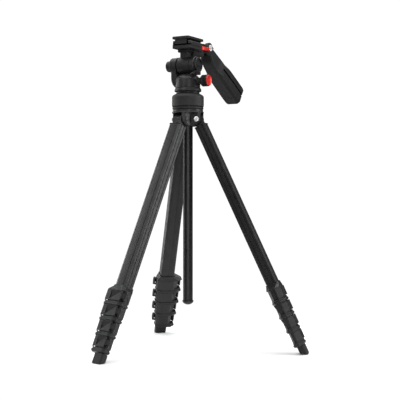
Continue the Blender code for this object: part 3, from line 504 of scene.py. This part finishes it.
def revolved(rows_of_radii, heights):
    """Mesh about Z from one list of radii for each height; a single zero radius is a point on the axis."""
    steps = max(len(radii) for radii in rows_of_radii)
    turn = 2.0 * math.pi / steps
    bm = bmesh.new()
    rows = []
    for radii, z in zip(rows_of_radii, heights):
        rows.append([
            bm.verts.new((r * math.cos(i * turn) * MM, r * math.sin(i * turn) * MM, z * MM))
            for i, r in enumerate(radii)
        ])
    pairs = list(zip(rows, rows[1:]))
    if len(rows[0]) > 1:
        pairs.append((rows[-1], rows[0]))
    for low, high in pairs:
        for i in range(steps):
            j = (i + 1) % steps
            ring = [low[0]] if len(low) == 1 else [low[i], low[j]]
            ring += [high[0]] if len(high) == 1 else [high[j], high[i]]
            if len(ring) > 2:
                bm.faces.new(ring)
    return bm


def turned(name, profile, steps, finish, matrix):
    """Solid of revolution about Z from (radius, height) points in mm, closed at the axis or on itself."""
    radii = [[r] * (steps if r else 1) for r, _ in profile]
    return solid(name, revolved(radii, [z for _, z in profile]), finish, matrix)


def six_sided(radius, angle):
    """Distance from the axis to a hexagon's side at one angle; the radius is to its corners."""
    sixth = math.radians(60.0)
    return radius * math.cos(sixth / 2.0) / math.cos(angle % sixth - sixth / 2.0)


def hexed(name, rows, finish, matrix):
    """Bolt-like piece about Z from (radius, height, is hexagonal) rows in mm, capped at both ends."""
    steps = 72
    loops = []
    for radius, z, hexagonal in rows:
        loop = []
        for i in range(steps):
            angle = 2.0 * math.pi * i / steps
            r = six_sided(radius, angle) if hexagonal else radius
            loop.append(Vector((r * math.cos(angle), r * math.sin(angle), z)) * MM)
        loops.append(loop)
    piece = solid(name, skin(loops), finish, matrix)
    piece.data.set_sharp_from_angle(angle=math.radians(35.0))
    return piece


def pivot_bolt(side, matrix):
    """Socket bolt through a leg's knuckle: low domed head on one side, hexagon nut on the other."""
    name = f"{side}_pivot_bolt"
    low, high = local_box(name, matrix)
    nut, head = -high.y / MM, -low.y / MM
    nut_inside = nut + 1.6
    r = (high.x - low.x) / 2.0 / MM
    shank = 2.5
    rows = [
        (1.9, nut + 0.3, False), (2.2, nut, False), (r - 1.1, nut, False), (r, nut + 0.4, True),
        (r, nut_inside, True), (shank, nut_inside, False), (shank, head - 1.6, False),
        (r, head - 1.6, False), (r, head - 0.9, False), (r - 0.5, head - 0.4, False),
        (r - 1.4, head - 0.1, False), (r - 2.1, head, False), (2.1, head, True), (1.9, head - 1.4, True),
    ]
    piece = hexed(f"{name}_skin", rows, MATERIALS["bright_steel"], matrix @ TURN_TO_SIDE)
    piece.data.materials.append(MATERIALS["black_aluminium"])
    for face in piece.data.polygons:
        if face.center.z < (nut_inside + 0.1) * MM:
            face.material_index = 1
    settle(piece, name)


def leg_looks(side):
    matrix = leg_frame(side)
    outer_tube(side, matrix)
    refined(f"{side}_knuckle")
    pivot_bolt(side, matrix)
    refined(f"{side}_lock_1", 0.55)
    for index in range(2, LOCK_COUNT + 1):
        piece = refined(f"{side}_section_{index}", slot="black_plastic")
        metal_above(piece, side, index, matrix)
    dressed(f"{side}_tube_5")
    refined(f"{side}_foot", 0.7)
    for index in range(1, LOCK_COUNT + 1):
        lever_plate(side, index, matrix)
        clamp_screw(side, index, matrix)


def metal_above(piece, side, index, matrix):
    """The tube above a housing is anodised aluminium, the housing itself is plastic."""
    piece.data.materials.append(MATERIALS["leg_tube"])
    _, lever_high = local_box(f"{side}_lever_{index}", matrix)
    back = matrix.inverted()
    for face in piece.data.polygons:
        if (back @ face.center).z > lever_high.z + 2.0 * MM:
            face.material_index = 1


# ---------------------------------------------------------------- column and head pieces

POINTS_PER_RIB = 6
# Below this height the plate's side facing +X is painted black as shade.
PLATE_DARK_BELOW = 569.6 * MM
OWN_SHAPES = (
    "column_collar", "pan_knob", "pan_knob_cap", "handle_grip", "handle_spine", "handle_bolt", "tilt_barrel",
    "camera_plate",
)


def ribbed(name, profile, ribs, depth, finish, matrix):
    """Turned piece with ribs; its profile rows are (radius, height, share of the ribs' depth)."""
    steps = ribs * POINTS_PER_RIB
    waves = [0.5 - 0.5 * math.cos(2.0 * math.pi * i / POINTS_PER_RIB) for i in range(steps)]
    radii = [[r - share * depth * wave ** 3 for wave in waves] if r else [r] for r, _, share in profile]
    piece = solid(name, revolved(radii, [z for _, z, _ in profile]), finish, matrix)
    piece.data.set_sharp_from_angle(angle=math.radians(40.0))
    return piece


def collar():
    """Twist-lock collar: finely ribbed rubber sleeve over a smooth ring, with a coned shoulder on top."""
    low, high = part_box("column_collar")
    r = (high.x - low.x) / 2.0 / MM
    bottom, top = low.z / MM, high.z / MM
    bore = 9.8
    rows = [
        (bore, bottom, 0), (r - 1.7, bottom, 0), (r - 0.9, bottom + 0.6, 0), (r - 0.7, bottom + 1.4, 0),
        (r - 0.7, bottom + 3.6, 0), (r - 1.3, bottom + 4.1, 0), (r - 1.3, bottom + 4.9, 0),
        (r - 0.5, bottom + 5.3, 0), (r, bottom + 6.0, 0), (r, bottom + 6.8, 1), (r, bottom + 12.0, 1),
        (r, bottom + 21.4, 1), (r, bottom + 22.3, 0), (r - 0.15, bottom + 23.4, 0),
        (r - 0.5, bottom + 24.5, 0), (r - 1.6, bottom + 25.8, 0), (r - 4.2, bottom + 27.4, 0),
        (r - 6.7, bottom + 28.8, 0), (r - 7.6, top - 0.2, 0), (r - 8.4, top, 0), (bore, top, 0),
    ]
    place = Matrix.Translation(COLUMN)
    piece = ribbed("column_collar_skin", rows, 120, 0.10, MATERIALS["collar_rubber"], place)
    # Painted shade: the faces of the ring's groove low on the collar are painted black.
    darken(piece, lambda face: bottom + 4.0 < face.center.z / MM < bottom + 5.0)
    settle(piece, "column_collar")


def pan_knob():
    """Ribbed knob on its stem, and the red cap in its outer face."""
    low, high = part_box("pan_knob")
    place = Matrix.Translation((COLUMN.x, COLUMN.y, (low.z + high.z) / 2.0)) @ TURN_TO_X
    r = (high.z - low.z) / 2.0 / MM
    start = (low.x - COLUMN.x) / MM
    face = (high.x - COLUMN.x) / MM
    grip = 30.0
    rows = [
        (0.0, start, 0), (2.5, start, 0), (2.5, grip, 0), (r - 2.2, grip, 0), (r - 1.2, grip + 0.4, 0),
        (r - 0.4, grip + 1.2, 0), (r, grip + 2.2, 0), (r, grip + 2.9, 1), (r, grip + 7.0, 1),
        (r, face - 1.5, 1), (r, face - 1.0, 0), (r - 0.2, face - 0.4, 0), (r - 0.7, face, 0), (0.0, face, 0),
    ]
    piece = ribbed("pan_knob_skin", rows, 36, 0.7, MATERIALS["black_plastic"], place)
    settle(piece, "pan_knob")
    low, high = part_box("pan_knob_cap")
    cap_r = (high.z - low.z) / 2.0 / MM
    start = (low.x - COLUMN.x) / MM
    face = (high.x - COLUMN.x) / MM
    rows = [
        (0.0, start), (cap_r - 0.2, start), (cap_r, start + 0.2), (cap_r, face - 0.6),
        (cap_r - 0.2, face - 0.2), (cap_r - 0.6, face), (cap_r - 1.4, face), (cap_r - 1.7, face - 0.25),
        (2.0, face - 0.25), (0.0, face - 0.25),
    ]
    piece = turned("pan_knob_cap_skin", rows, 96, MATERIALS["red"], place)
    piece.data.set_sharp_from_angle(angle=math.radians(50.0))
    settle(piece, "pan_knob_cap")


# ---------------------------------------------------------------- grip

# Stations down the grip from its hub, in mm:
# distance, top, bottom, half width, top corner, bottom corner, side scoop.
GRIP_STATIONS = (
    (10.9, 9.4, -8.6, 12.4, 3.0, 3.0, 0.0),
    (18.0, 10.5, -13.4, 12.5, 3.1, 3.2, 0.1),
    (24.0, 11.5, -16.3, 12.5, 3.2, 3.4, 0.3),
    (37.0, 13.5, -19.5, 12.5, 3.4, 4.0, 0.7),
    (47.0, 14.9, -20.7, 12.9, 3.6, 5.0, 0.9),
    (55.0, 16.5, -21.1, 14.3, 5.6, 5.6, 0.7),
    (61.0, 17.7, -21.1, 15.3, 7.6, 5.8, 0.4),
    (70.0, 18.9, -20.9, 15.7, 7.0, 5.8, 0.1),
    (84.0, 20.5, -20.3, 15.9, 4.8, 5.8, 0.0),
    (118.0, 24.3, -17.5, 15.9, 4.6, 5.4, 0.0),
    (145.0, 27.0, -15.1, 15.7, 4.4, 5.0, 0.0),
    (149.0, 27.0, -14.2, 15.6, 4.4, 5.0, 0.0),
    (152.9, 26.3, -12.6, 15.3, 4.4, 4.6, 0.0),
)
GRIP_DROP = math.radians(34.4)
GRIP_START = GRIP_STATIONS[0][0]
GRIP_END = GRIP_STATIONS[-1][0]
SPINE_FROM = 61.3
SPINE_DEEP = 18.0
SEAM_CUT = 1.8
GRIP_SCREW_AT = 66.0
CORNER_SOFTNESS = 0.28


def grip_values(along):
    """Station values at one distance, on a smooth curve through the listed stations."""
    rows = GRIP_STATIONS
    last = len(rows) - 1
    i = max(k for k in range(last) if rows[k][0] <= along)
    before, a, b, after = rows[max(i - 1, 0)], rows[i], rows[i + 1], rows[min(i + 2, last)]
    span = b[0] - a[0]
    t = (along - a[0]) / span
    values = []
    for k in range(1, len(a)):
        slope_a = (b[k] - before[k]) / (b[0] - before[0])
        slope_b = (after[k] - a[k]) / (after[0] - a[0])
        value = (2 * t ** 3 - 3 * t ** 2 + 1) * a[k] + (t ** 3 - 2 * t ** 2 + t) * slope_a * span
        value += (3 * t ** 2 - 2 * t ** 3) * b[k] + (t ** 3 - t ** 2) * slope_b * span
        values.append(value)
    return values


def round_octagon(half, top, bottom, cut_top, cut_bottom, scoop):
    """Cross-section with eight softened corners; the scoop hollows the side walls."""
    middle = (top + bottom) / 2.0
    side = half - scoop
    corners = [
        (half - cut_bottom, bottom), (half, bottom + cut_bottom), (side, middle), (half, top - cut_top),
        (half - cut_top, top), (cut_top - half, top), (-half, top - cut_top), (-side, middle),
        (-half, bottom + cut_bottom), (cut_bottom - half, bottom),
    ]
    points = []
    for i, (x, z) in enumerate(corners):
        corner = Vector((x, z))
        if z == middle:
            points.append(corner)
            continue
        before = Vector(corners[i - 1]) - corner
        after = Vector(corners[(i + 1) % len(corners)]) - corner
        cut = CORNER_SOFTNESS * min(before.length, after.length, 6.0)
        start = corner + before.normalized() * cut
        end = corner + after.normalized() * cut
        for t in (0.0, 0.33, 0.67, 1.0):
            u = 1.0 - t
            points.append(u * u * start + 2.0 * u * t * corner + t * t * end)
    return points


def spread(start, end, step):
    """Evenly spaced distances from start to end, about one step apart."""
    count = max(1, int(round((end - start) / step)))
    return [start + (end - start) * i / count for i in range(count + 1)]


def grip_loops(distances, part):
    """Cross-sections of the grip's body or of the spine strip along its back."""
    loops = []
    for along in distances:
        top, bottom, half, cut_top, cut_bottom, scoop = grip_values(along)
        if part == "body" and along >= SPINE_FROM:
            top, cut_top = top - SPINE_DEEP - 0.15, SEAM_CUT
        if part == "spine":
            bottom, cut_bottom, scoop = top - SPINE_DEEP + 0.2, SEAM_CUT, 0.0
        outline = round_octagon(half, top, bottom, cut_top, cut_bottom, scoop)
        loops.append([Vector((x * MM, along * MM, z * MM)) for x, z in outline])
    return loops


def grip_looks():
    """Grip with its forked root, the spine strip along its back, its hinge bolt and its screws."""
    matrix = Matrix.Translation(HUB) @ Matrix.Rotation(-GRIP_DROP, 4, "X")
    along_spine = spread(SPINE_FROM, GRIP_END, 3.0)
    along_body = spread(GRIP_START, 61.0, 2.4) + along_spine
    # Painted shade: both parts paint their faces in the seam between body and spine black.
    grip_part("handle_grip", grip_loops(along_body, "body"), matrix, seam_under_spine)
    grip_part("handle_spine", grip_loops(along_spine, "spine"), matrix, lambda face: face.normal.z < -0.5)
    for side, sign in (("near", 1.0), ("far", -1.0)):
        cheek(side, sign, matrix)
    handle_bolt()
    for side, sign in (("near", 1.0), ("far", -1.0)):
        grip_screw(side, sign, matrix)


# Faces of the body under the spine strip, painted black as the shade in the seam.
def seam_under_spine(face):
    return face.center.y > SPINE_FROM * MM and face.normal.z > 0.5


def grip_part(name, loops, matrix, in_seam):
    piece = solid(f"{name}_skin", skin(loops), MATERIALS["rubber"], matrix)
    rolled(piece, 0.7, 3, 40.0)
    darken(piece, in_seam)
    settle(piece, name)


def cheek(side, sign, matrix):
    """One side of the grip's forked root, round about the hinge bolt and square towards the grip."""
    radius = 10.3
    turns = [math.radians(a) for a in range(62, 285, 6)]
    outline = [(radius * math.cos(a), radius * math.sin(a)) for a in turns] + [(11.6, -8.8), (11.6, 9.2)]
    loops = [[Vector((sign * x * MM, y * MM, z * MM)) for y, z in outline] for x in (5.4, 13.0)]
    piece = solid(f"handle_cheek_{side}", skin(loops), MATERIALS["rubber"], matrix)
    rolled(piece, 0.8, 3, 40.0)
    attach(piece, "handle_grip")


def grip_screw(side, sign, matrix):
    """Small socket screw low in one side wall of the grip."""
    _, bottom, half, _, _, scoop = grip_values(GRIP_SCREW_AT)
    rows = [
        (2.3, -0.9, False), (2.3, 0.1, False), (2.0, 0.3, False), (1.4, 0.3, False), (1.2, 0.1, True),
        (1.1, -0.7, True),
    ]
    turn = Matrix.Rotation(math.radians(90.0 * sign), 4, "Y")
    place = Matrix.Translation((sign * (half - scoop) * MM, GRIP_SCREW_AT * MM, (bottom + 11.0) * MM))
    piece = hexed(f"grip_screw_{side}", rows, MATERIALS["black_aluminium"], matrix @ place @ turn)
    attach(piece, "handle_grip")


def handle_bolt():
    """Hinge bolt of the grip: bright dished discs at both ends."""
    low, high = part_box("handle_bolt")
    start, end = (low.x - HUB.x) / MM, (high.x - HUB.x) / MM
    rows = [
        (0.0, start + 0.4), (3.4, start + 0.4), (3.8, start), (4.8, start), (5.3, start + 0.4),
        (5.5, start + 1.5), (3.0, start + 1.5), (3.0, end - 1.8), (6.0, end - 1.8), (6.0, end - 0.6),
        (5.7, end - 0.2), (5.2, end), (4.7, end), (4.3, end - 0.35), (2.0, end - 0.45), (0.0, end - 0.45),
    ]
    place = Matrix.Translation(HUB) @ TURN_TO_X
    piece = turned("handle_bolt_skin", rows, 72, MATERIALS["bright_steel"], place)
    piece.data.set_sharp_from_angle(angle=math.radians(35.0))
    settle(piece, "handle_bolt")


# ---------------------------------------------------------------- stage

# Soft boxes: place (aside, height, ahead, seen from the camera), height aimed at, width and height, watts.
SOFT_BOXES = {
    "top_light": ((0.0, 1.9, -0.1), 0.0, (2.4, 2.4), 56.0),
    "key_light": ((-1.1, 1.2, -1.3), 0.35, (0.6, 1.3), 8.0),
    "right_light": ((1.5, 0.7, -0.2), 0.3, (0.4, 1.5), 18.0),
    "front_light": ((0.35, 0.35, -2.1), 0.3, (0.6, 0.9), 12.0),
    "back_light": ((0.1, 1.4, 1.7), 0.3, (1.0, 1.0), 12.0),
    "back_left_light": ((-1.2, 0.5, 1.5), 0.3, (0.5, 1.2), 6.0),
    "left_light": ((-1.5, 0.6, 0.5), 0.3, (0.3, 1.5), 10.0),
}


def soft_box(name, place, aimed_height, size, watts):
    data = bpy.data.lights.new(name, "AREA")
    data.shape = "RECTANGLE"
    data.size, data.size_y = size
    data.energy = watts
    lamp = shown_as(name, data)
    lamp.location = viewed(*place)
    towards = viewed(0.0, aimed_height, 0.0) - lamp.location
    lamp.rotation_euler = towards.to_track_quat("-Z", "Y").to_euler()


def viewed(aside, height, ahead):
    """A point given from the camera's own right and forward directions, measured from the column axis."""
    right = Vector((math.cos(VIEW_AZIMUTH), math.sin(VIEW_AZIMUTH), 0.0))
    forward = Vector((-math.sin(VIEW_AZIMUTH), math.cos(VIEW_AZIMUTH), 0.0))
    return COLUMN + right * aside + forward * ahead + Vector((0.0, 0.0, height))


def studio_camera():
    data = bpy.data.cameras.new("camera")
    data.lens = LENS
    data.sensor_width = 36.0
    data.shift_x, data.shift_y = LENS_SHIFT
    camera = shown_as("camera", data)
    camera.location = viewed(VIEW_ASIDE, VIEW_HEIGHT, -VIEW_DISTANCE)
    camera.rotation_euler = (math.radians(90.0), 0.0, VIEW_AZIMUTH)
    bpy.context.scene.camera = camera


def surroundings():
    """A white backdrop of which little lights the object: the soft boxes draw its forms."""
    world = bpy.data.worlds.new("studio_world")
    world.use_nodes = True
    tree = world.node_tree
    background = tree.nodes["Background"]
    background.inputs["Color"].default_value = (1.0, 1.0, 1.0, 1.0)
    seen = tree.nodes.new("ShaderNodeLightPath")
    strength = tree.nodes.new("ShaderNodeMapRange")
    strength.inputs["To Min"].default_value = ROOM_LIGHT
    strength.inputs["To Max"].default_value = BACKDROP_LIGHT
    tree.links.new(seen.outputs["Is Camera Ray"], strength.inputs["Value"])
    tree.links.new(strength.outputs["Result"], background.inputs["Strength"])
    bpy.context.scene.world = world
    bpy.context.scene.view_settings.view_transform = "Standard"


def pale_floor():
    bm = bmesh.new()
    bmesh.ops.create_circle(bm, cap_ends=True, segments=96, radius=FLOOR_RADIUS)
    mesh = bpy.data.meshes.new("floor")
    bm.to_mesh(mesh)
    bm.free()
    floor = shown_as("floor", mesh)
    floor.location = COLUMN + Vector((0.0, 0.0, -0.3 * MM))
    paint = Nodes("pale_floor", 0.7)
    tone = paint.colours(paint.noise(3.0, 2.0), (0.3, (0.90, 0.90, 0.90)), (0.7, (0.93, 0.93, 0.93)))
    paint.link(tone, paint.shader.inputs["Base Color"])
    mesh.materials.append(paint.material)


# ---------------------------------------------------------------- assembly

def camera_plate():
    """The plate; the side of its foot, in the gap above the jaw, is painted black as shade."""
    plate = refined("camera_plate")
    darken(plate, lambda face: face.center.z < PLATE_DARK_BELOW and face.normal.x > 0.5)


def tilt_barrel():
    """The barrel, with a deep seam beside the arm that carries it and a fine one towards its drag disc, both
    painted black as shade.
    """
    barrel = refined("tilt_barrel", 0.25, 2)
    barrel.data.materials.append(MATERIALS["seam"])
    groove(barrel.data, -17.6 * MM, -15.8 * MM, 1.8 * MM)
    groove(barrel.data, 9.2 * MM, 9.9 * MM, 0.5 * MM)


def main():
    studio_camera()
    surroundings()
    for name, (place, aimed_height, size, watts) in SOFT_BOXES.items():
        soft_box(name, place, aimed_height, size, watts)
    pale_floor()
    for side in SIDES:
        leg_looks(side)
    leg_names = tuple(f"{side}_" for side in SIDES)
    for name in NODES:
        if name == "head_seat":
            dressed(name)
        elif not name.startswith(leg_names) and name not in OWN_SHAPES:
            refined(name)
    collar()
    pan_knob()
    grip_looks()
    camera_plate()
    tilt_barrel()


main()
